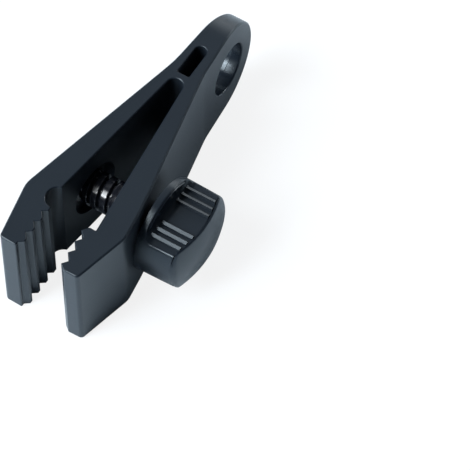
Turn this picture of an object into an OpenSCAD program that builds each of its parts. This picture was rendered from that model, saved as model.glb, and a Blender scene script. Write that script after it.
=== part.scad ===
// Tarp clip: two toothed arms that spread from a flat eye end and are drawn together by a thumb screw.
// The origin is the centre of the eye hole. +X runs from the eye towards the jaws, +Y is the axis of
// the eye hole and points to the thumb knob, and +Z is the clip's width, upwards as it lies on its side.

/* [Eye end] */
// Width of the whole clip, from side face to side face
clip_w = 35; // [30:0.5:42]
// Diameter of the eye hole
eye_hole_d = 17.5; // [12:0.5:19]
// Rim of material past the eye hole at the round end
eye_rim = 6.6; // [4.5:0.1:9]
// Thickness of the eye end at its round tip
eye_tip_t = 5.9; // [4.5:0.1:7]

/* [Flexible root] */
// Distance from the eye hole's centre to where the arms begin to spread
root_x = 16; // [14.5:0.5:18]
// Thickness of the clip where the arms begin to spread
root_t = 10.7; // [10:0.1:12]
// Distance from the eye hole's centre to the round end of the side pockets
pocket_x = 9.4; // [8.5:0.1:10]
// Length of the side pockets, from that round end's centre to the web
pocket_len = 9.7; // [8:0.1:10.5]
// Height of the side pockets
pocket_h = 4.1; // [3:0.1:4.6]
// Depth of each side pocket across the clip's width
pocket_deep = 11.5; // [8:0.5:12]
// Thickness of the web that bends when the arms close
web_t = 2.3; // [1.6:0.1:3]
// Diameter of the round end of the gap between the arms
fork_d = 5.3; // [4.6:0.1:5.6]
// Distance of the pockets and the fork below the clip's middle plane
root_drop = 0.3; // [0.1:0.1:0.5]

/* [Arms] */
// Distance from the fork's centre to the screw's axis
screw_reach = 34.4; // [31:0.2:38]
// Distance from the fork's centre to the upper arm's heel, where its jaw starts to slope
upper_heel_reach = 54.3; // [53:0.1:57]
// Distance from the fork's centre to the lower arm's heel
lower_heel_reach = 52.7; // [50:0.1:56]
// Distance from the fork's centre to the tip of the jaws
jaw_reach = 72.7; // [71:0.1:76]
// Angle of the upper arm's inner face to the middle plane, in degrees
upper_gape = 5.65; // [5:0.05:6.5]
// Angle of the lower arm's inner face to the middle plane, in degrees
lower_gape = 6.95; // [6:0.05:8]
// Thickness of the upper arm at the screw
upper_mid_t = 8; // [7:0.1:9]
// Thickness of the upper arm at its heel
upper_heel_t = 9.1; // [8:0.1:10]
// Thickness of the lower arm at its heel
lower_heel_t = 9.7; // [8.5:0.1:11]
// Thickness of the upper jaw at its tip, from the teeth's crests
upper_tip_t = 6.7; // [5.5:0.1:8]
// Thickness of the lower jaw at its tip, from the teeth's crests
lower_tip_t = 7.4; // [6:0.1:9]
// Radius of the jaws' outer front corners
nose_r = 1.3; // [0.6:0.1:2]

/* [Teeth] */
// Number of cross teeth on each jaw
tooth_count = 4; // [3:1:4]
// Distance from one tooth to the next
tooth_pitch = 4.25; // [3.8:0.05:4.4]
// Height of the upper teeth
upper_tooth_h = 1.9; // [1:0.1:2.2]
// Height of the lower teeth
lower_tooth_h = 1.6; // [1:0.1:2]
// Width of the flat crest of the lower teeth
lower_crest_w = 1.1; // [0.6:0.1:1.4]
// Distance of the upper teeth's crests from the upper arm's inner face
upper_bite = 4; // [3:0.1:4.4]
// Distance of the lower teeth's crests below the middle plane
lower_bite = 7.8; // [7.4:0.1:9]
// Distance from the tip of the upper jaw to its front crest
upper_front = 1.7; // [1.2:0.1:2.4]
// Distance from the tip of the lower jaw to the middle of its front crest
lower_front = 2.9; // [2:0.1:3.4]
// Diameter of the round cross groove behind the lower teeth
groove_d = 7.6; // [6:0.1:8]
// Distance from the last lower crest to the middle of the groove
groove_back = 4.7; // [4:0.1:5.5]

/* [Thumb knob] */
// Diameter of the knob's base disc
disc_d = 31; // [28:0.5:33]
// Thickness of the base disc
disc_t = 2.2; // [1.8:0.1:3]
// Diameter of the grip above the disc
grip_d = 30; // [26:0.5:31]
// Width of the grip across its two ribbed flats
grip_w = 19; // [16:0.5:22]
// Height of the grip's top edge above the underside of the disc
grip_h = 13.6; // [11:0.2:16]
// Height of the domed top above that edge
dome_h = 3.2; // [1.5:0.1:4]
// Thickness of a grip rib
rib_t = 1.6; // [1:0.1:1.8]
// Height of a grip rib above its flat
rib_h = 1.1; // [0.6:0.1:1.3]
// Distance from one rib to the next
rib_pitch = 2.65; // [2:0.05:2.8]
// Ribs at each end of a flat
rib_count = 3; // [2:1:3]
// Distance from the middle of a flat to the nearest rib
rib_first = 4.7; // [4:0.1:5]

/* [Screw and washer] */
// Outer diameter of the thread
thread_d = 11.6; // [10.5:0.1:12.4]
// Diameter of the thread's core
core_d = 8.7; // [7.8:0.1:9.4]
// Lead of the thread in one turn
thread_pitch = 3.2; // [2.8:0.1:3.6]
// Diameter of the plain shank between the knob and the thread
shank_d = 10.8; // [9.8:0.1:11.4]
// Length of the plain shank below the disc
shank_len = 14.7; // [13:0.1:16]
// Length of the screw below the disc
screw_len = 27.3; // [26:0.1:28.5]
// Diameter of the screw's root inside the knob
root_pin_d = 8.6; // [7:0.1:9.4]
// Length of the screw's root above the washer
root_pin_len = 9; // [6:0.5:10]
// Outer diameter of the slip washer under the knob
washer_d = 23; // [19:0.5:25]
// Thickness of the slip washer
washer_t = 1; // [0.8:0.1:1.3]
// Diameter of the widened mouth of the threaded hole
mouth_d = 18.4; // [14:0.1:20]
// Depth of the widened mouth where the screw's axis meets the arm
mouth_deep = 3; // [1:0.1:3.5]

/* [Fits] */
// Gap between the knob's rim and the upper arm when the clip is open
rim_gap = 0.2; // [0.1:0.05:0.4]
// Gap between the two halves of the flexible root, which bend as one moulding
seam_gap = 0.1; // [0.05:0.05:0.2]
// Gap around the thread in the lower arm
thread_gap = 0.2; // [0.15:0.05:0.3]
// Least gap around the screw in the upper arm
slot_gap = 0.5; // [0.3:0.1:0.8]
// Gap around the shank in the washer
spin_gap = 0.08; // [0.05:0.01:0.1]
// Gap around the washer in the knob
washer_gap = 0.15; // [0.1:0.05:0.3]
// Gap around the screw's root pressed into the knob
press_gap = 0.02; // [0.01:0.01:0.05]
// Angle that the upper arm turns from open to closed, in degrees
close_a = 9.8; // [7:0.1:10]

/* [Hidden] */
$fn = 96;
black = [0.075, 0.08, 0.09];
grey_black = [0.1, 0.105, 0.12];
// Overrun of every cut past the face that it opens
over = fork_d;

// Places along the clip
tip_x = -eye_hole_d / 2 - eye_rim;
// The round tip's radius is a little over half the clip's width, so it meets the side faces at a slight angle
eye_end_share = 1.01;
eye_end_r = clip_w / 2 * eye_end_share;
web_x = pocket_x + pocket_len;
fork_r = fork_d / 2;
fork = [web_x + web_t + fork_r, -root_drop];
screw_x = fork[0] + screw_reach;
jaw_x = fork[0] + jaw_reach;
upper_heel_x = fork[0] + upper_heel_reach;
lower_heel_x = fork[0] + lower_heel_reach;
// The web's centre, about which the upper arm turns
pivot = [web_x + web_t / 2, fork[1]];
// The seam stands over the fork's round end, at this angle of it
seam_a = 110;
seam_x = fork[0] + fork_r * cos(seam_a);

// Inner faces run on from the fork's round end at their own angles
upper_tangent = fork + fork_r * [-sin(upper_gape), cos(upper_gape)];
lower_tangent = fork - fork_r * [sin(lower_gape), cos(lower_gape)];
function upper_in(x) = upper_tangent[1] + (x - upper_tangent[0]) * tan(upper_gape);
function lower_in(x) = lower_tangent[1] - (x - lower_tangent[0]) * tan(lower_gape);

// Points of a circle of radius r about p, from angle a to angle b
arc_steps = 16;
function arc(p, r, a, b) =
    [for (k = [0:arc_steps])
        let (t = a + (b - a) * k / arc_steps)
        p + r * [cos(t), sin(t)]];

// Height at x of the straight line from point a to point b
function line_y(a, b, x) = a[1] + (b[1] - a[1]) * (x - a[0]) / (b[0] - a[0]);

// Outer corners of the arms
upper_root = [root_x, root_t / 2];
lower_root = [root_x, -root_t / 2];
upper_mid = [screw_x, upper_in(screw_x) + upper_mid_t];
upper_heel = [upper_heel_x, upper_in(upper_heel_x) + upper_heel_t];
lower_heel = [lower_heel_x, lower_in(lower_heel_x) - lower_heel_t];
upper_nose = [jaw_x, upper_in(jaw_x) - upper_bite + upper_tip_t];
lower_nose = [jaw_x, -lower_bite - lower_tip_t];

// Rounded corner p between the upright front face and an outer face that slopes at angle b.
// It runs from the front face on the upper jaw, where side is 1, and to it on the lower, where side is -1
function nose(p, b, side) =
    let (c = [p[0] - nose_r, p[1] - side * nose_r * (1 - sin(b)) / cos(b)])
    side > 0 ? arc(c, nose_r, 0, 90 - b) : arc(c, nose_r, b - 90, 0);
upper_nose_a = atan2(upper_heel[1] - upper_nose[1], upper_nose[0] - upper_heel[0]);
lower_nose_a = atan2(lower_nose[1] - lower_heel[1], lower_nose[0] - lower_heel[0]);

// Upper teeth are pointed and follow the inner face, tooth 0 at the tip
function upper_crest_x(i) = jaw_x - upper_front - i * tooth_pitch;
function upper_floor(x) = upper_in(x) - upper_bite + upper_tooth_h;
upper_step_x = upper_crest_x(tooth_count - 1) - tooth_pitch / 2;
upper_teeth = [for (i = [tooth_count - 1:-1:0])
    let (x = upper_crest_x(i))
    each [[x - tooth_pitch / 2, upper_floor(x - tooth_pitch / 2)], [x, upper_in(x) - upper_bite]]];

// Lower teeth have flat crests, and each floor lies nearer the tooth behind it
lower_floor_share = 0.6;
function lower_crest_x(i) = jaw_x - lower_front - i * tooth_pitch;
lower_floor = -lower_bite - lower_tooth_h;
lower_front_x = min(lower_crest_x(0) + (1 - lower_floor_share) * tooth_pitch, jaw_x);
lower_teeth = [for (i = [0:tooth_count - 1])
    let (x = lower_crest_x(i))
    each concat(
        [[x + lower_crest_w / 2, -lower_bite], [x - lower_crest_w / 2, -lower_bite]],
        i < tooth_count - 1 ? [[x - lower_floor_share * tooth_pitch, lower_floor]] : [])];
groove = [lower_crest_x(tooth_count - 1) - groove_back, -lower_bite];

// Outer face of the upper arm, with the shallow bend at the screw
function upper_out(x) = x < screw_x ? line_y(upper_root, upper_mid, x) : line_y(upper_mid, upper_heel, x);

// The knob's disc stands on its rim nearest the jaws when the clip is open
rim_x = min(screw_x + disc_d / 2, upper_heel_x);
disc_y = upper_out(rim_x) + rim_gap;

// In the upper arm's own frame the screw's axis turns about the pivot as the arm closes
function axis_point(a) =
    let (r = [screw_x, 0] - pivot)
    pivot + [r[0] * cos(a) - r[1] * sin(a), r[0] * sin(a) + r[1] * cos(a)];
function axis_x(a, y) = axis_point(a)[0] - (y - axis_point(a)[1]) * tan(a);
slot_back_x = axis_x(close_a, upper_mid[1]);

// The mouth of the threaded hole is a little narrower at its bottom
mouth_foot_share = 0.92;

// Washer seat and screw root inside the knob
seat_h = washer_t + washer_gap;
grip_flat_w = grip_w - 2 * rib_h;

// Places a child drawn along +Z, from the underside of the disc, on the screw's axis
module on_axis() {
    translate([screw_x, disc_y, 0])
        rotate([-90, 0, 0])
            children();
}

// A bar as wide as the clip with the profile of its children
module bar() {
    linear_extrude(height = clip_w, center = true)
        children();
}

// Right-hand rounded thread on the disc's axis, from height z0 up to z1, grown by gap
module thread(z0, z1, gap) {
    ring_r = (thread_d + core_d) / 4;
    shift = (thread_d - core_d) / 4;
    turns = (z1 - z0) / thread_pitch;
    translate([0, 0, z0])
        rotate([0, 0, 360 * z0 / thread_pitch])
            linear_extrude(height = z1 - z0, twist = -360 * turns, slices = ceil(20 * turns), $fn = 24)
                translate([shift, 0])
                    circle(r = ring_r + gap);
}

// Plan of the eye end: a round tip that runs into the side faces
module eye_plan() {
    translate([tip_x + eye_end_r, 0])
        circle(r = eye_end_r);
    translate([tip_x + eye_end_r, -clip_w])
        square([jaw_x - tip_x, 2 * clip_w]);
}

// Side profile of the eye end, the flexible root and the lower arm
module lower_profile() {
    difference() {
        polygon(concat(
            [[tip_x, -eye_tip_t / 2], lower_root, lower_heel],
            nose(lower_nose, lower_nose_a, -1),
            [[jaw_x, lower_floor], [lower_front_x, lower_floor]],
            lower_teeth,
            [groove, [groove[0], lower_in(groove[0])]],
            arc(fork, fork_r, 270 - lower_gape, seam_a),
            [[seam_x, upper_out(seam_x)], upper_root, [tip_x, eye_tip_t / 2]]));
        translate(groove)
            circle(d = groove_d);
    }
}

// Side profile of the upper arm in front of the seam
module upper_profile() {
    front_x = seam_x + seam_gap;
    polygon(concat(
        arc(fork, fork_r, acos((front_x - fork[0]) / fork_r), 90 + upper_gape),
        [[upper_step_x, upper_in(upper_step_x)]],
        upper_teeth,
        [[jaw_x, upper_floor(jaw_x)]],
        nose(upper_nose, upper_nose_a, 1),
        [upper_heel, upper_mid, [front_x, upper_out(front_x)]]));
}

// Profile of a side pocket: round towards the eye, square at the web
module pocket_profile() {
    centre = [pocket_x, -root_drop];
    polygon(concat(
        arc(centre, pocket_h / 2, 90, 270),
        [[web_x, centre[1] - pocket_h / 2], [web_x, centre[1] + pocket_h / 2]]));
}

module lower_arm() {
    color(black)
        difference() {
            intersection() {
                bar()
                    lower_profile();
                rotate([90, 0, 0])
                    linear_extrude(height = clip_w * 2, center = true)
                        eye_plan();
            }
            rotate([90, 0, 0])
                cylinder(d = eye_hole_d, h = root_t + over, center = true);
            for (side = [-1, 1])
                translate([0, 0, side * (clip_w / 2 + over / 2)])
                    linear_extrude(height = 2 * pocket_deep + over, center = true)
                        pocket_profile();
            screw_hole();
        }
}

// Threaded hole through the lower arm with a widened mouth
module screw_hole() {
    inner_y = lower_in(screw_x);
    outer_y = line_y(lower_root, lower_heel, screw_x + thread_d / 2);
    mouth_z = inner_y - mouth_deep - disc_y;
    on_axis() {
        thread(outer_y - disc_y - thread_gap, mouth_z, thread_gap);
        translate([0, 0, mouth_z])
            cylinder(d1 = mouth_d * mouth_foot_share, d2 = mouth_d, h = mouth_deep);
        translate([0, 0, mouth_z + mouth_deep])
            cylinder(d = mouth_d, h = over);
    }
}

module upper_arm() {
    slot_d = thread_d + 2 * slot_gap;
    color(black)
        difference() {
            bar()
                upper_profile();
            rotate([90, 0, 0])
                linear_extrude(height = 2 * upper_nose[1] + 2 * upper_heel_t, center = true)
                    polygon(concat(
                        arc([slot_back_x, 0], slot_d / 2, 90, 270),
                        arc([screw_x, 0], slot_d / 2, -90, 90)));
        }
}

// Screw: root pin in the knob, plain shank, thread, and a short plain lead at the end
module screw() {
    lead = thread_pitch / 4;
    color(grey_black)
        on_axis() {
            cylinder(d = root_pin_d, h = seat_h + root_pin_len);
            translate([0, 0, -shank_len])
                cylinder(d = shank_d, h = shank_len + seat_h);
            thread(lead - screw_len, -shank_len, 0);
            translate([0, 0, -screw_len])
                cylinder(d = core_d - 2 * thread_gap, h = screw_len - shank_len);
        }
}

// Knob: base disc, and a domed round grip cut to two flats with ribs near the ends of each
module knob() {
    dome_r = ((grip_d / 2) ^ 2 + dome_h ^ 2) / (2 * dome_h);
    color(black)
        on_axis()
            difference() {
                union() {
                    cylinder(d = disc_d, h = disc_t);
                    intersection() {
                        cylinder(d = grip_d, h = grip_h + dome_h);
                        translate([0, 0, grip_h + dome_h - dome_r])
                            sphere(r = dome_r);
                        grip_blank();
                    }
                }
                translate([0, 0, -over])
                    cylinder(d = washer_d + 2 * washer_gap, h = seat_h + over);
                cylinder(d = root_pin_d + 2 * press_gap, h = seat_h + root_pin_len + press_gap);
            }
}

// Flat-sided block with half-round ribs, as tall as the grip
module grip_blank() {
    block_h = grip_h + dome_h;
    translate([-grip_d / 2, -grip_flat_w / 2, 0])
        cube([grip_d, grip_flat_w, block_h]);
    for (side = [-1, 1], end = [-1, 1], i = [0:rib_count - 1])
        translate([end * (rib_first + i * rib_pitch), side * grip_flat_w / 2, disc_t / 2])
            rib(block_h);
}

// One rib: a square bar with a round crest
module rib(h) {
    stem_h = rib_h - rib_t / 2;
    translate([-rib_t / 2, -stem_h, 0])
        cube([rib_t, 2 * stem_h, h]);
    for (side = [-1, 1])
        translate([0, side * stem_h, 0])
            cylinder(d = rib_t, h = h, $fn = 32);
}

module washer() {
    color(grey_black)
        on_axis()
            difference() {
                cylinder(d = washer_d, h = washer_t);
                translate([0, 0, -over])
                    cylinder(d = shank_d + 2 * spin_gap, h = washer_t + 2 * over);
            }
}

lower_arm();
upper_arm();
screw();
knob();
washer();
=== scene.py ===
import math
import bmesh
import bpy
import numpy as np
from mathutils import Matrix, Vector


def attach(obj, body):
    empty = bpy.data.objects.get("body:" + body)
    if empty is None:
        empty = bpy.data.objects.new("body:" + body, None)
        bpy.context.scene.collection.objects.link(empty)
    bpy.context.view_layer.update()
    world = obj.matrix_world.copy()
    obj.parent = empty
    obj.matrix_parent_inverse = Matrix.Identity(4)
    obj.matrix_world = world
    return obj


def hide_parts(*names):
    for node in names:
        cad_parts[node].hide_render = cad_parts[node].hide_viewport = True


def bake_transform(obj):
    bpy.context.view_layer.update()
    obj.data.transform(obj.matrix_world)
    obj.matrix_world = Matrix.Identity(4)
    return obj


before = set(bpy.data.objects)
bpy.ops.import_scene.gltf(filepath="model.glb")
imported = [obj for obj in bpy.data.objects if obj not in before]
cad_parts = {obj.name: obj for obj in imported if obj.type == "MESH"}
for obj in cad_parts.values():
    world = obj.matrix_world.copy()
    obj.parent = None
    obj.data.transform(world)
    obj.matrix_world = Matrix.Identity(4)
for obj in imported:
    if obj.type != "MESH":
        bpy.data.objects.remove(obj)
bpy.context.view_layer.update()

# ---- Clip body, lower part: the eye end, half of the flexible root and the toothed lower arm.
# One injection moulding of black plastic. Its side profile runs straight across the width, the
# mould closes along the middle of that width, and all edges are slightly rounded.

# Sizes in millimetres: x runs from the eye to the jaws, y towards the knob, z across the width.
half_w = 17.5
tip_x, tip_half_t = -15.35, 2.95
root_x, root_half_t = 16.0, 5.35
eye_r, eye_round = 8.75, 0.6
outer_round, slot_round, tooth_round, lip_round = 0.6, 0.4, 0.28, 0.3
pad_x, split_x, web_x, fork_x = 3.0, 12.0, 19.1, 21.4
seam_y, slot_low, slot_high, slot_deep = -0.3, -2.35, 1.75, 11.5
slot_c, slot_r = (9.4, -0.3), 2.05
fork_c, fork_r = (24.05, -0.3), 2.65
jaw_x, screw_x = 96.75, 58.45
lower_gape, upper_gape = 6.95, 5.65
tooth_pitch = 4.25


def face_y(x):
    """Half the thickness of the eye end at x: it grows evenly from the round tip to the root."""
    return tip_half_t + (x - tip_x) * (root_half_t - tip_half_t) / (root_x - tip_x)


def arc(centre, radius, first, last, steps, edge):
    """Rows (x, y, corner radius 0, edge rounding) on a circle between two angles in degrees."""
    a = np.radians(np.linspace(first, last, steps + 1))
    x, y = centre[0] + radius * np.cos(a), centre[1] + radius * np.sin(a)
    return [(px, py, 0, edge) for px, py in zip(x, y)]


def rounded(corners):
    """Side profile from corners (x, y, corner radius, edge rounding): each corner becomes the arc
    of its radius that touches both its edges, worked out as a turn of the spoke from the first
    touching point to the last, a row for every 8 degrees. Returns rows (x, y, edge rounding)."""
    c = np.array(corners, float)
    out = []
    for i, (x, y, radius, edge) in enumerate(c):
        if radius == 0:
            out.append([[x, y, edge]])
            continue
        p = c[i, :2]
        a, b = c[i - 1, :2] - p, c[(i + 1) % len(c), :2] - p
        a, b = a / np.linalg.norm(a), b / np.linalg.norm(b)
        half = math.acos(a @ b) / 2
        turn = math.pi - 2 * half
        centre = p + (a + b) / np.linalg.norm(a + b) * radius / math.sin(half)
        first = p + a * radius / math.tan(half) - centre
        last = p + b * radius / math.tan(half) - centre
        k = np.linspace(0, 1, max(3, int(turn / math.radians(8)) + 2))[:, None]
        bend = centre + (np.sin((1 - k) * turn) * first + np.sin(k * turn) * last) / math.sin(turn)
        out.append(np.column_stack([bend, np.full(len(k), edge)]))
    return np.vstack(out)


def mitres(p, closed=True):
    """Outward normals of an anticlockwise outline, lengthened at corners so that an inset keeps
    its edges parallel: the sum of both edges' normals over 1 plus their product."""
    along = np.roll(p, -1, 0) - p
    if not closed:
        along[-1] = along[-2]
    along /= np.linalg.norm(along, axis=1)[:, None]
    after = np.stack([along[:, 1], -along[:, 0]], 1)
    before = np.roll(after, 1, 0)
    if not closed:
        before[0] = after[0]
    return (before + after) / np.maximum(1 + (before * after).sum(1), 0.3)[:, None]


def flush(profile, mitre):
    """Where the two parts of the body meet flush, the inset keeps to the line on which they meet:
    upright at the split, lengthwise at the seam's two ends."""
    x, y = profile[:, 0], profile[:, 1]
    at_split, at_seam = np.isclose(x, split_x), np.isclose(y, seam_y)
    mitre[at_split] = (0, 1)
    mitre[at_split & np.isclose(y, slot_high)] = (0, -1)
    mitre[at_seam & np.isclose(x, web_x)] = (-1, 0)
    mitre[at_seam & np.isclose(x, fork_x)] = (1, 0)
    return mitre


# Rows of an edge rounding, as shares of its size: how far each lies in from the edge and how far
# down from the face. Two short curves with a flat bevel between them.
round_in = np.array([1, 0.78, 0.6, 0.13, 0.03, 0])
round_down = np.array([0, 0.03, 0.13, 0.6, 0.78, 1])
edge_rows = len(round_in)


def across(profile, closed=True):
    """The side profile carried across the width. Near a side face it shrinks over its edge
    rounding r: by r times round_in, at the distance r times round_down from the face."""
    mitre = flush(profile, mitres(profile[:, :2], closed))
    r = profile[:, 2]
    rows = [np.column_stack([profile[:, :2] - mitre * (r * i)[:, None], side * (half_w - r * d)])
            for side, order in ((-1, slice(None)), (1, slice(None, None, -1)))
            for i, d in zip(round_in[order], round_down[order])]
    return np.array(rows)


def quads(rows, columns, closed, start=0):
    """Faces between neighbouring rows and columns of a grid; a closed grid joins its ends."""
    i, j = np.meshgrid(np.arange(rows - 1), np.arange(columns - (not closed)), indexing="ij")
    k = (j + 1) % columns
    corners = [i * columns + j, i * columns + k, (i + 1) * columns + k, (i + 1) * columns + j]
    return (np.stack(corners, -1).reshape(-1, 4) + start).tolist()


def skin(rows, columns, closed, start=0):
    """Faces of a grid with a flat face on its first and its last row."""
    last = start + (rows - 1) * columns
    ends = [list(range(start, start + columns)), list(range(last, last + columns))]
    return quads(rows, columns, closed, start) + ends


def solid(name, points, faces, sharp=32):
    """A closed mesh at the origin from points in millimetres: equal points are joined, faces
    turned outwards, and edges steeper than sharp degrees stay crisp."""
    mesh = bpy.data.meshes.new(name)
    mesh.from_pydata((np.asarray(points, float).reshape(-1, 3) / 1000).tolist(), [], faces)
    work = bmesh.new()
    work.from_mesh(mesh)
    bmesh.ops.remove_doubles(work, verts=work.verts, dist=2e-6)
    bmesh.ops.recalc_face_normals(work, faces=work.faces)
    work.to_mesh(mesh)
    work.free()
    mesh.polygons.foreach_set("use_smooth", np.ones(len(mesh.polygons), bool))
    mesh.set_sharp_from_angle(angle=math.radians(sharp))
    piece = bpy.data.objects.new(name, mesh)
    bpy.context.scene.collection.objects.link(piece)
    return piece


def lofted(name, loops, sharp=32):
    """A solid skinned over closed loops, a grid of loop by point, with a flat face on each end."""
    loops = np.asarray(loops, float)
    return solid(name, loops, skin(*loops.shape[:2], True), sharp)


def turned(name, x, rows, steps=72):
    """A turned solid on an axis along Y through x: each row gives its radius and its height, and
    may add a share of the sloping face's height, so that its rim follows that face."""
    a = np.linspace(0, 2 * math.pi, steps, endpoint=False)
    loops = []
    for radius, height, *share in rows:
        px = x + radius * np.cos(a)
        y = height + (share[0] * face_y(px) if share else 0 * a)
        loops.append(np.stack([px, y, radius * np.sin(a)], 1))
    return lofted(name, loops)


def settle(piece, cutters, sharp=32):
    """Cuts the cutters out of a piece for good, and lets its flat faces rule the shading of the
    edges."""
    for cutter in cutters:
        cut = piece.modifiers.new("cut", "BOOLEAN")
        cut.operation, cut.solver, cut.object = "DIFFERENCE", "EXACT", cutter
    bpy.context.view_layer.update()
    seen_piece = piece.evaluated_get(bpy.context.evaluated_depsgraph_get())
    shape = bpy.data.meshes.new_from_object(seen_piece)
    piece.modifiers.clear()
    piece.data = shape
    for cutter in cutters:
        bpy.data.objects.remove(cutter)
    shape.polygons.foreach_set("use_smooth", np.ones(len(shape.polygons), bool))
    shape.set_sharp_from_angle(angle=math.radians(sharp))
    shade = piece.modifiers.new("flat faces", "WEIGHTED_NORMAL")
    shade.keep_sharp = True
    shade.weight = 100


# Lower jaw: four flat-topped teeth, and behind them a round relief groove.
crest_y, floor_y, crest_half = -7.8, -9.4, 0.55
first_crest, first_foot = jaw_x - 2.9, 95.55
crest_bend, foot_bend = 0.3, 0.15
relief_c, relief_r = (76.4, crest_y), 3.8
lower_knee, lower_lip = (76.75, -19.05), (jaw_x, -15.2)
teeth = []
for i in range(4):
    x = first_crest - i * tooth_pitch
    teeth += [(x + crest_half, crest_y, crest_bend, tooth_round)]
    if i < 3:
        teeth += [(x - crest_half, crest_y, crest_bend, tooth_round),
                  (x - 0.6 * tooth_pitch, floor_y, foot_bend, tooth_round)]
lower_side = rounded(
    [(pad_x, -face_y(pad_x), 0, outer_round), (root_x, -root_half_t, 45, outer_round),
     (*lower_knee, 9, outer_round), (*lower_lip, 1.5, outer_round),
     (jaw_x, floor_y, 0.35, lip_round), (first_foot, floor_y, crest_bend, tooth_round)]
    + teeth
    + arc(relief_c, relief_r, 0, -163, 22, slot_round)
    + arc(fork_c, fork_r, 270 - lower_gape, 180, 10, slot_round)
    + [(web_x, seam_y, 0, slot_round), (web_x, slot_low, 0.3, slot_round),
       (split_x, slot_low, 0, slot_round), (split_x, face_y(split_x), 0, outer_round),
       (pad_x, face_y(pad_x), 0, outer_round)])
bar = across(lower_side, closed=False)

# The eye end's plan is straight, half circle, straight; the edge rounding runs on round the tip.
# Its first and last points are the bar's own, so that the two grids join there.
tip_a = np.radians(np.linspace(90, 270, 61))
pad = []
for side, column, order in ((1, -1, range(edge_rows - 1, -1, -1)), (-1, 0, range(edge_rows))):
    for k in order:
        r = half_w - outer_round * round_down[k]
        x = np.concatenate([[pad_x], tip_x + half_w + r * np.cos(tip_a), [pad_x]])
        z = np.concatenate([[r], r * np.sin(tip_a), [-r]])
        ring = np.stack([x, side * (face_y(x) - outer_round * round_in[k]), z], 1)
        ring[0], ring[-1] = bar[2 * edge_rows - 1 - k, column], bar[k, column]
        pad.append(ring)
pad = np.array(pad)
faces = skin(*bar.shape[:2], False) + skin(*pad.shape[:2], False, bar.shape[0] * bar.shape[1])
lower = solid("clip_lower", np.vstack([bar.reshape(-1, 3), pad.reshape(-1, 3)]), faces)

# The eye's rims flare by a quarter circle, and a hair line runs round it at half its length.
# A cutter reaches past the face that it cuts: by clear where the flare ends, then well beyond.
quarter = np.radians(np.linspace(0, 90, 6))
clear, beyond = 0.01, 1.5
line_half, line_h = 0.12, 0.07
flare = [(eye_r + eye_round * (1 - math.cos(t)), clear - eye_round * (1 - math.sin(t)))
         for t in quarter]
eye_rows = [(eye_r + eye_round, -beyond, -1)] + [(r, -h, -1) for r, h in flare[::-1]]
eye_rows += [(eye_r, -line_half), (eye_r - line_h, 0), (eye_r, line_half)]
eye_rows += [(r, h, 1) for r, h in flare] + [(eye_r + eye_round, beyond, 1)]
eye_cut = turned("eye_cut", 0, eye_rows, 96)
slot_end = 13.5


def slot_cutter(side):
    """One side slot: round towards the eye, its mouth widened along the edge rounding."""
    bow = [q[:2] for q in arc(slot_c, slot_r, 90, 270, 16, 0)]
    loop = np.array(bow + [(slot_end, slot_low), (slot_end, slot_high)])
    mitre = mitres(loop)
    rows = [(half_w - slot_deep, 0)]
    rows += [(half_w + clear - slot_round * (1 - math.sin(t)), slot_round * (1 - math.cos(t)))
             for t in quarter]
    rows += [(half_w + 1, slot_round)]
    return lofted("slot_cut", [np.column_stack([loop + mitre * grow, np.full(len(loop), side * z)])
                               for z, grow in rows])


def lower_in(x):
    """Inner face of the lower arm: the line that leaves the fork at the lower gape."""
    g = math.radians(lower_gape)
    run = x - fork_c[0] + fork_r * math.sin(g)
    return fork_c[1] - fork_r * math.cos(g) - run * math.tan(g)


# The screw's hole goes right through the lower arm and opens into a wide shallow recess.
hole_r, mouth_r, mouth_y = 6.0, 9.2, lower_in(screw_x)
hole_cut = turned("hole_cut", screw_x, [
    (hole_r, -24), (hole_r, mouth_y - 3.1), (hole_r + 0.2, mouth_y - 2.95),
    (mouth_r - 0.9, mouth_y - 2.8), (mouth_r - 0.4, mouth_y - 2.4),
    (mouth_r, mouth_y - 0.8), (mouth_r, 0)])
settle(lower, [eye_cut, slot_cutter(1), slot_cutter(-1), hole_cut])

# The side slots are blind: a block between their floors reaches a little into the walls round it.
core_z = half_w - slot_deep
core_x, core_y = (split_x - 0.5, web_x + 0.4), (slot_low - 0.3, slot_high + 0.3)
core_plan = np.array([(core_x[0], core_y[0]), (core_x[1], core_y[0]),
                      (core_x[1], core_y[1]), (core_x[0], core_y[1])])
core = lofted("clip_slot_floor", [np.column_stack([core_plan, np.full(4, z)])
                                  for z in (-core_z, core_z)])


class Value:
    """One output or number of a material, written as ordinary arithmetic that adds its Math
    nodes."""

    def __init__(self, paint, socket):
        self.paint, self.socket = paint, socket

    def _math(self, operation, *terms):
        return self.paint.node("Math", dict(operation=operation), *terms)

    def __add__(self, other):
        return self._math("ADD", self, other)

    def __radd__(self, other):
        return self._math("ADD", other, self)

    def __sub__(self, other):
        return self._math("SUBTRACT", self, other)

    def __rsub__(self, other):
        return self._math("SUBTRACT", other, self)

    def __mul__(self, other):
        return self._math("MULTIPLY", self, other)

    def __rmul__(self, other):
        return self._math("MULTIPLY", other, self)


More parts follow.
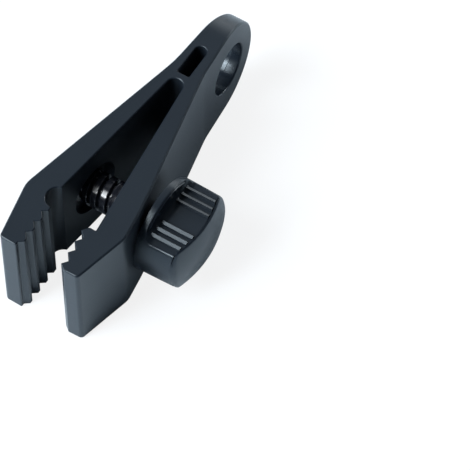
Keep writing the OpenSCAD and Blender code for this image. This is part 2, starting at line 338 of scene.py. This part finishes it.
class Paint:
    """One material: its shader, the places on the piece that its patterns read, and a method that
    adds a node."""

    def __init__(self, name, colour, **uniform):
        self.material = bpy.data.materials.new(name)
        self.material.use_nodes = True
        self.tree = self.material.node_tree
        self.shader = self.tree.nodes["Principled BSDF"]
        self.shader.inputs["Base Color"].default_value = (*colour, 1)
        for socket, value in uniform.items():
            self.shader.inputs[socket.replace("_", " ")].default_value = value
        place = self.tree.nodes.new("ShaderNodeTexCoord")
        self.place = Value(self, place.outputs["Object"])

    def node(self, kind, settings, *values, out=0, **named):
        """Adds a node of that kind. Settings come first, then the values or links of its sockets,
        in the sockets' order or by name."""
        node = self.tree.nodes.new("ShaderNode" + kind)
        for key, value in settings.items():
            setattr(node, key, value)
        pairs = list(enumerate(values)) + [(k.replace("_", " "), v) for k, v in named.items()]
        for key, value in pairs:
            self.put(node.inputs[key], value)
        return Value(self, node.outputs[out])

    def mixed(self, share, first, second):
        """A colour between two others: the second's share grows from 0 to 1. A Mix node keeps its
        two colours on its sockets 6 and 7, and their mix on its output 2."""
        mix = self.node("Mix", dict(data_type="RGBA"), share, out=2)
        for socket, colour in ((6, first), (7, second)):
            self.put(mix.socket.node.inputs[socket], (*colour, 1))
        return mix

    def put(self, socket, value):
        """Links a value to a socket, or sets the number on it."""
        if isinstance(value, Value):
            self.tree.links.new(value.socket, socket)
        else:
            socket.default_value = value

    def dress(self, *pieces):
        """Gives pieces this material alone."""
        for piece in pieces:
            piece.data.materials.clear()
            piece.data.materials.append(self.material)


def moulded(name, colour, lighter, gloss, grain, line=True, bore=0.0, **uniform):
    """Satin moulded plastic: faint clouds of colour and gloss from the melt's flow, a fine even
    grain from the mould's surface, and along the middle of the width the hair line where the mould
    closes. A bore round the Y axis, left by a polished pin, is glossier."""
    paint = Paint(name, colour, **uniform)
    clouds = paint.node("TexNoise", {}, Vector=paint.place, Scale=38.0, Detail=3.0, Roughness=0.55)
    specks = paint.node("TexNoise", {}, Vector=paint.place, Scale=1500.0, Detail=2.0, Roughness=0.6)
    shade = paint.mixed(clouds * 0.8 + specks * 0.2, colour, lighter)
    paint.put(paint.shader.inputs["Base Color"], shade)
    rough = gloss + 0.10 * clouds + 0.05 * specks
    if bore:
        flat = paint.node("VectorMath", dict(operation="MULTIPLY"), paint.place, (1, 0, 1))
        off_axis = paint.node("VectorMath", dict(operation="LENGTH"), flat, out=1)
        inside = paint.node("MapRange", {}, off_axis, From_Min=bore, From_Max=bore + 0.0003,
                            To_Min=1.0, To_Max=0.0)
        rough = rough - inside * 0.2
    paint.put(paint.shader.inputs["Roughness"], rough)
    height = specks * grain
    if line:
        off_line = paint.node("Math", dict(operation="ABSOLUTE"),
                              paint.node("SeparateXYZ", {}, paint.place, out=2))
        near = paint.node("MapRange", dict(interpolation_type="SMOOTHSTEP"), off_line,
                          From_Min=0.00008, From_Max=0.00022, To_Min=1.0, To_Max=0.0)
        height = height + near * 0.5
    bump = paint.node("Bump", {}, Strength=0.35, Distance=0.00008, Height=height)
    paint.put(paint.shader.inputs["Normal"], bump)
    return paint


black, black_light = (0.005, 0.0075, 0.0115), (0.007, 0.0105, 0.0155)
body_black = moulded("body_plastic", black, black_light, 0.32, 0.5,
                     bore=eye_r / 1000, IOR=1.38, Specular_Tint=(0.8, 0.92, 1.0, 1))
body_black.dress(lower, core)
for piece in (lower, core):
    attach(piece, "base")
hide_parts("lower_arm")

# ---- Clip body, upper part: the other half of the flexible root and the toothed upper arm.
# The same moulding in black plastic; the root flexes round the web. A long slot under the knob
# lets the screw pass at every opening.


def upper_in(x):
    """Inner face of the upper arm: the line that leaves the fork at the upper gape."""
    g = math.radians(upper_gape)
    run = x - fork_c[0] + fork_r * math.sin(g)
    return fork_c[1] + fork_r * math.cos(g) + run * math.tan(g)


# Upper jaw: four pointed teeth, which stand out from the arm's inner face by the bite.
bite, tooth_h = 4.0, 1.9
first_point = jaw_x - 1.7
upper_teeth = []
for i in range(3, -1, -1):
    x = first_point - i * tooth_pitch
    foot = x - tooth_pitch / 2
    foot_y, point_y = upper_in(foot) - bite + tooth_h, upper_in(x) - bite
    upper_teeth += [(foot, foot_y, crest_bend if i == 3 else foot_bend, tooth_round),
                    (x, point_y, crest_bend, tooth_round)]
step_x = first_point - 3.5 * tooth_pitch
upper_lip, upper_knee, over_jaw, over_screw = (jaw_x, 12.255), (78.1, 16.83), (68.9, 15.6), 13.766
back_rise = 0.19825
# Points lie close together along the side slots and along the arm's back.
bend_low, bend_high = np.arange(13, 19, 1.0), np.arange(30, 20.5, -1.0)
upper_side = rounded(
    [(split_x, slot_high, 0, slot_round)]
    + [(x, slot_high, 0, slot_round) for x in bend_low]
    + [(web_x, slot_high, 0.3, slot_round), (web_x, seam_y, 0, slot_round)]
    + arc(fork_c, fork_r, 180, 90 + upper_gape, 10, slot_round)
    + [(step_x, upper_in(step_x), 0.3, slot_round)] + upper_teeth
    + [(jaw_x, upper_in(jaw_x) - bite + tooth_h, 0.5, 0.4), (*upper_lip, 1.4, outer_round),
       (*upper_knee, 7, outer_round), (*over_jaw, 20, outer_round),
       (screw_x, over_screw, 40, outer_round)]
    + [(x, root_half_t + (x - root_x) * back_rise, 0, outer_round) for x in bend_high]
    + [(root_x, root_half_t, 25, outer_round), (13, face_y(13), 0, outer_round),
       (split_x, face_y(split_x), 0, outer_round)])
upper = lofted("clip_upper", across(upper_side))
slot_back, slot_half = 56.586, 6.3
slot_a = np.radians(np.linspace(90, 270, 25))
slot_x = np.concatenate([slot_back + slot_half * np.cos(slot_a),
                         screw_x - slot_half * np.cos(slot_a)])
slot_z = np.concatenate([slot_half * np.sin(slot_a), -slot_half * np.sin(slot_a)])
slot_cut = lofted("screw_slot_cut", [np.stack([slot_x, np.full_like(slot_x, y), slot_z], 1)
                                     for y in (2.0, 20.0)])
settle(upper, [slot_cut])
body_black.dress(upper)
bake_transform(upper)
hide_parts("upper_arm")

# ---- Thumb knob: a drum with a finger scoop on each side and a low domed top.
# Moulded in black plastic round the head of its screw. Ribs stand near the ends of both scoops for
# grip, and a fine raised line edges each scoop.
disc_y, disc_t = 16.356, 2.2
drum_r, drum_top_r = 15.5, 15.25
scoop_half, cap_half = 8.4, 9.6
scoop_r, scoop_h = 3.0, 2.2
rib_c = np.array([4.7, 7.35, 10.0])
rib_half, rib_h = 0.8, 1.1
edge_h, dome_h = 13.6, 3.2
dome_r = (drum_top_r ** 2 + dome_h ** 2) / (2 * dome_h)
corner_w, corner_cut = 0.35, 0.008

# Places of a flat's points along it, from its end to its end: close together across each rib.
across_rib = np.array([-1.1, -1.0, -0.88, -0.75, -0.62, -0.15, 0.28, 0.42, 0.62, 0.9]) * rib_half
flat_p = np.concatenate([[0, 1.2, 2.4], *[c + across_rib for c in rib_c]])
flat_p = np.concatenate([-flat_p[:0:-1], flat_p])[::-1]
flat_reach = 11.2
flat_n, bow_n = len(flat_p) + 4, 29


def rib_rise(p):
    """Height of the ribs over the scoop at p: steep towards the middle of the flat, then a long
    slope outwards that ends in a low step."""
    u = (np.abs(p)[:, None] - rib_c) / rib_half
    steep, slope, step = (u + 1.0) / 0.25, 1 - 0.36 * (u + 0.75) / 1.1, (0.62 - u) / 0.3
    return rib_h * np.clip(np.minimum(np.minimum(steep, slope), step), 0, 1).max(1)


def knob_section(half, radius, ribs=0.0):
    """Section of the knob: a circle cut by two flats at half the given width, flat_n points along
    a flat and bow_n round an end. Along a flat the points keep to the ribs; where the flat is
    short they close up. The flat's corner is slightly cut."""
    end = math.sqrt(radius ** 2 - half ** 2)
    brink = end - corner_w
    short = min(1.0, brink / flat_reach)
    p = np.concatenate([[brink], flat_p * short, [-brink]])
    q = np.concatenate([[half], half + ribs * rib_rise(flat_p), [half]])
    side = np.column_stack([p, q])
    corner = np.array([[end, half]]) * (1 - corner_cut)
    turn = math.asin(half / radius)
    swing = np.linspace(turn - corner_w / radius, -turn + corner_w / radius, bow_n)
    bow = np.stack([radius * np.cos(swing), radius * np.sin(swing)], 1)
    half_loop = np.vstack([corner * (-1, 1), side[::-1], corner, bow])
    return np.vstack([half_loop, -half_loop])


def on_knob(section, height):
    """Puts a section (p, q) at a height over the knob's underside: p along X, q along Z."""
    h = np.broadcast_to(height, len(section))
    return np.stack([screw_x + section[:, 0], disc_y + h, section[:, 1]], 1)


# The base disc: its rows are circles with their points at the angles of a scoop's floor. Its
# underside holds the washer's seat and the screw's root.
root_r, seat_r, seat_deep, under_r = 2.0, 11.65, 1.15, 15.1
floor_loop = knob_section(scoop_half + scoop_r, drum_r)
angle = np.arctan2(floor_loop[:, 1], floor_loop[:, 0])
rim = np.stack([np.cos(angle), np.sin(angle)], 1)
knob_loops = [on_knob(rim * r, h) for r, h in ((root_r, seat_deep), (seat_r, seat_deep),
                                               (seat_r, 0.0), (under_r, 0.0))]
knob_loops += [on_knob(rim * (15.3 + 0.2 * math.sin(t)), 0.2 - 0.2 * math.cos(t))
               for t in quarter[1:]]
knob_loops += [on_knob(rim * 15.47, 0.6)]

# The raised line where a scoop opens from the disc, in rows (inset, height). It sinks back into
# the drum's wall, whose rows start at wall_h, over the last eighth of the scoop's width.
on_flat = np.concatenate([np.ones(flat_n), np.zeros(bow_n)] * 2)
reach = np.abs(floor_loop[:, 0]) / math.sqrt(drum_r ** 2 - (scoop_half + scoop_r) ** 2)
open_part = on_flat * np.clip((1 - reach) / 0.12, 0, 1)
open_part = open_part ** 2 * (3 - 2 * open_part)
wall_h, wall_step = 1.85, 0.03
lip = [(0.08, 1.85), (0.12, 2.05), (0.2, 2.2), (0.32, 2.22), (0.42, 2.0), (0.6, 2.0), (0.68, 2.4),
       (0.8, 2.6), (1.0, 2.6), (1.12, 2.45), (1.2, 2.2)]
for k, (inset, h) in enumerate(lip):
    r = drum_r - inset * open_part
    height = h * open_part + (wall_h + wall_step * k) * (1 - open_part)
    knob_loops += [on_knob(rim * r[:, None], height)]

# The scoop's foot is a quarter circle, out of which the ribs rise. Points off the flat, and the
# two at each end of it, read the ribs' height at a place where there is none.
no_rib = 99.0
rib_p = np.concatenate([[no_rib] * 2, flat_p[::-1], [no_rib] * (2 + bow_n)] * 2)
q_rib = scoop_half + rib_rise(rib_p)
for k in range(9):
    t = math.pi / 2 * k / 8
    half = scoop_half + scoop_r * (1 - math.sin(t))
    h = scoop_h + scoop_r * (1 - math.cos(t))
    radius = drum_r - (drum_r - drum_top_r) * (h - disc_t) / (edge_h - disc_t)
    p, q = knob_section(half, radius).T
    raised = np.where(on_flat > 0, np.sign(q) * np.maximum(np.abs(q), q_rib), q)
    knob_loops += [on_knob(np.stack([p, raised], 1), h)]


def dome_y(section):
    """Height of the domed top over the underside, from the distance to the axis."""
    rho2 = (section ** 2).sum(1)
    return edge_h + dome_h - dome_r + np.sqrt(dome_r ** 2 - rho2)


def inward(section, by):
    """A section of the knob, which runs clockwise, moved inwards by a distance."""
    return section - mitres(section[::-1])[::-1] * by


def edge_row(section, degrees, size):
    """Row of a rounded top edge of that size: a quarter circle, taken at an angle from upright,
    whose upper end meets the dome."""
    t = math.radians(degrees)
    q = inward(section, size * (1 - math.cos(t)))
    return on_knob(q, dome_y(q) - size * (1 - math.sin(t)) - 0.02)


# Under the cap's edge a groove runs along each flat and fades out round the ends, where the edge
# is rounded much more. Each row blends the two by near, which is 1 along a flat.
small, large, groove = 0.5, 1.8, 0.55
cap, plain = knob_section(cap_half, drum_top_r), knob_section(scoop_half, drum_top_r)
ribbed = knob_section(scoop_half, drum_top_r, 1.0)
inner = inward(plain, groove)
near = np.clip(np.abs(plain[:, 1]) / scoop_half * 1.25 - 0.25, 0, 1)
near = np.maximum(on_flat, near ** 2 * (3 - 2 * near))[:, None]
knob_loops += [on_knob(knob_section(scoop_half, drum_top_r + 0.1, 1.0), dome_y(cap) - 4.5)]
for section, drop, end_degrees in ((ribbed, 1.45, 0), (ribbed, 1.05, 12),
                                   (inner, 0.98, 22), (inner, 0.78, 32)):
    under_cap = on_knob(section, dome_y(cap) - drop)
    knob_loops += [near * under_cap + (1 - near) * edge_row(plain, end_degrees, large)]
for degrees, end_degrees in zip((0, 18, 36, 54, 72, 90), (42, 50, 60, 70, 80, 90)):
    cap_edge = edge_row(cap, degrees, small)
    knob_loops += [near * cap_edge + (1 - near) * edge_row(cap, end_degrees, large)]
crown = inward(cap, small * near + large * (1 - near))
for share in (0.97, 0.93, 0.87, 0.78, 0.66, 0.52, 0.38, 0.24, 0.12, 0.04):
    knob_loops += [on_knob(crown * share, dome_y(crown * share))]
knob = lofted("thumb_knob", knob_loops, 30)
knob_black = moulded("knob_plastic", black, black_light, 0.24, 0.35, line=False,
                     IOR=1.38, Specular_Tint=(0.82, 0.93, 1.0, 1))
knob_black.dress(knob)
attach(knob, "thumb_screw")
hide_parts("knob")

# ---- Screw: a coarse round-edged thread below a plain shank, moulded in harder, glossier plastic.
# Its head sits in the knob and turns with it; the thread runs in the hole of the lower arm.
core_r, crest_r, lead = 4.35, 5.8, 3.2
shank_r, shank_len, screw_len = 5.4, 14.7, 27.3
head_in, row_step = 1.6, 0.16
turn_a = np.linspace(0, 2 * math.pi, 64, endpoint=False)


def thread_r(depth):
    """Radius of the screw at a depth below the knob and at each angle: a flat crest and a flat
    root joined by smooth flanks, wound with the lead, and fading out towards the shank and the
    end."""
    phase = (turn_a / (2 * math.pi) - depth / lead) % 1
    away = np.abs(phase - 0.5) * 2
    rise = np.clip((0.94 - away) / 0.34, 0, 1)
    rise = rise ** 2 * (3 - 2 * rise)
    start = np.clip((depth - shank_len) / 1.2, 0, 1)
    end = np.clip((screw_len - 0.3 - depth) / 1.5, 0, 1)
    thread = core_r + (crest_r - core_r) * rise * end
    return shank_r + (thread - shank_r) * start


def screw_loop(depth, r):
    """Loop round the screw's axis at a depth below the knob."""
    y = np.full_like(turn_a, disc_y - depth)
    return np.stack([screw_x + r * np.cos(turn_a), y, r * np.sin(turn_a)], 1)


depths = np.concatenate([np.linspace(-head_in, shank_len, 8),
                         np.arange(shank_len + row_step, screw_len, row_step)])
screw_loops = [screw_loop(d, thread_r(d)) for d in depths]
screw_loops += [screw_loop(d, r) for d, r in ((screw_len - 0.1, 4.2), (screw_len, 3.9),
                                              (screw_len, 1.0))]
screw = lofted("knob_screw", screw_loops, 40)
screw_black = moulded("screw_plastic", (0.005, 0.006, 0.010), (0.007, 0.008, 0.012), 0.16, 0.1,
                      line=False, IOR=1.52)
screw_black.dress(screw)
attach(screw, "thumb_screw")
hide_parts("screw")

# ---- Slip washer: a thin plain ring of the same hard plastic, loose round the shank.
# It lies in the knob's underside and keeps still while the knob turns over it.
screw_black.dress(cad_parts["washer"])

# ---- Floor and backdrop: one sheet of white studio paper, on which the clip lies on its side.
# The paper shows white to the camera and, more faintly, in glossy reflections, and keeps the
# clip's shadow.
floor_z = -half_w / 1000
paper_n, paper_half = 41, 3
sheet_x, sheet_y = np.meshgrid(*[np.linspace(-1, 1, paper_n) * paper_half] * 2, indexing="ij")
sheet = np.stack([sheet_x, sheet_y, np.full_like(sheet_x, floor_z)], -1).reshape(-1, 3)
floor_mesh = bpy.data.meshes.new("paper_floor")
floor_mesh.from_pydata(sheet.tolist(), [], quads(paper_n, paper_n, False))
floor = bpy.data.objects.new("paper_floor", floor_mesh)
bpy.context.scene.collection.objects.link(floor)
paper = Paint("paper", (0.74, 0.84, 0.92), Roughness=0.9)
fibre = paper.node("TexNoise", {}, Vector=paper.place, Scale=400.0, Detail=2.0)
bump = paper.node("Bump", {}, Strength=0.05, Distance=0.0001, Height=fibre)
paper.put(paper.shader.inputs["Normal"], bump)
camera_ray = paper.node("LightPath", {})
glossy_ray = paper.node("LightPath", {}, out=3)
tint = paper.mixed(camera_ray, (0.68, 0.86, 1.0), (1, 1, 1))
glow = paper.node("Emission", {}, Color=tint, Strength=1.0)
seen = camera_ray * 0.85 + glossy_ray * 0.06
both = paper.node("MixShader", {}, seen, Value(paper, paper.shader.outputs[0]), glow)
paper.put(paper.tree.nodes["Material Output"].inputs["Surface"], both)
paper.dress(floor)

# ---- Light and camera: a few soft boxes round the clip under a dim, slightly blue sky, which is
# white where the camera sees past the paper's edge. Places are in metres, powers in watts.
scene = bpy.context.scene
world = bpy.data.worlds.new("studio")
world.use_nodes = True
scene.world = world
sky = world.node_tree
background = sky.nodes["Background"]
background.inputs["Color"].default_value = (0.8, 0.88, 1.0, 1)
background.inputs["Strength"].default_value = 0.08
white = sky.nodes.new("ShaderNodeBackground")
white.inputs["Strength"].default_value = 1.0
white.inputs["Color"].default_value = (1, 1, 1, 1)
ray = sky.nodes.new("ShaderNodeLightPath")
choose = sky.nodes.new("ShaderNodeMixShader")
sky.links.new(ray.outputs["Is Camera Ray"], choose.inputs[0])
sky.links.new(background.outputs[0], choose.inputs[1])
sky.links.new(white.outputs[0], choose.inputs[2])
sky.links.new(choose.outputs[0], sky.nodes["World Output"].inputs["Surface"])


def look(obj, at):
    """Turns a lamp or the camera towards a point, with its top upwards."""
    direction = np.array(at) - np.array(obj.location)
    obj.rotation_euler = Vector(direction).to_track_quat("-Z", "Y").to_euler()


def soft_box(name, place, size, power, at=(0.045, 0, 0)):
    """A square soft box: an area lamp of that size and power, aimed at the clip."""
    lamp = bpy.data.lights.new(name, "AREA")
    lamp.shape, lamp.size, lamp.energy = "SQUARE", size, power
    lamp.color = (0.93, 0.97, 1.0)
    box = bpy.data.objects.new(name, lamp)
    box.location = place
    scene.collection.objects.link(box)
    look(box, at)


soft_box("key", (0.98, -0.97, 0.85), 1.2, 56)
soft_box("strip", (0.77, -0.45, 1.33), 0.5, 13)
soft_box("edge", (1.13, -0.44, 0.95), 0.35, 9)
soft_box("far", (-0.3, 0.15, 0.12), 0.12, 0.6, (-0.04, 0.05, floor_z))
soft_box("top", (-0.7, -0.45, 1.35), 1.0, 2.0)
soft_box("back", (-1.25, -0.4, 0.45), 0.7, 5)

camera = bpy.data.objects.new("camera", bpy.data.cameras.new("camera"))
camera.data.lens, camera.data.sensor_width = 254.3, 36
camera.data.clip_start, camera.data.clip_end = 0.05, 20
camera.location = (0.50565, 0.31922, 0.8379)
scene.collection.objects.link(camera)
look(camera, (0.04106, 0.03173, -0.0175))
scene.camera = camera
scene.view_settings.view_transform = "Standard"

bpy.context.view_layer.update()
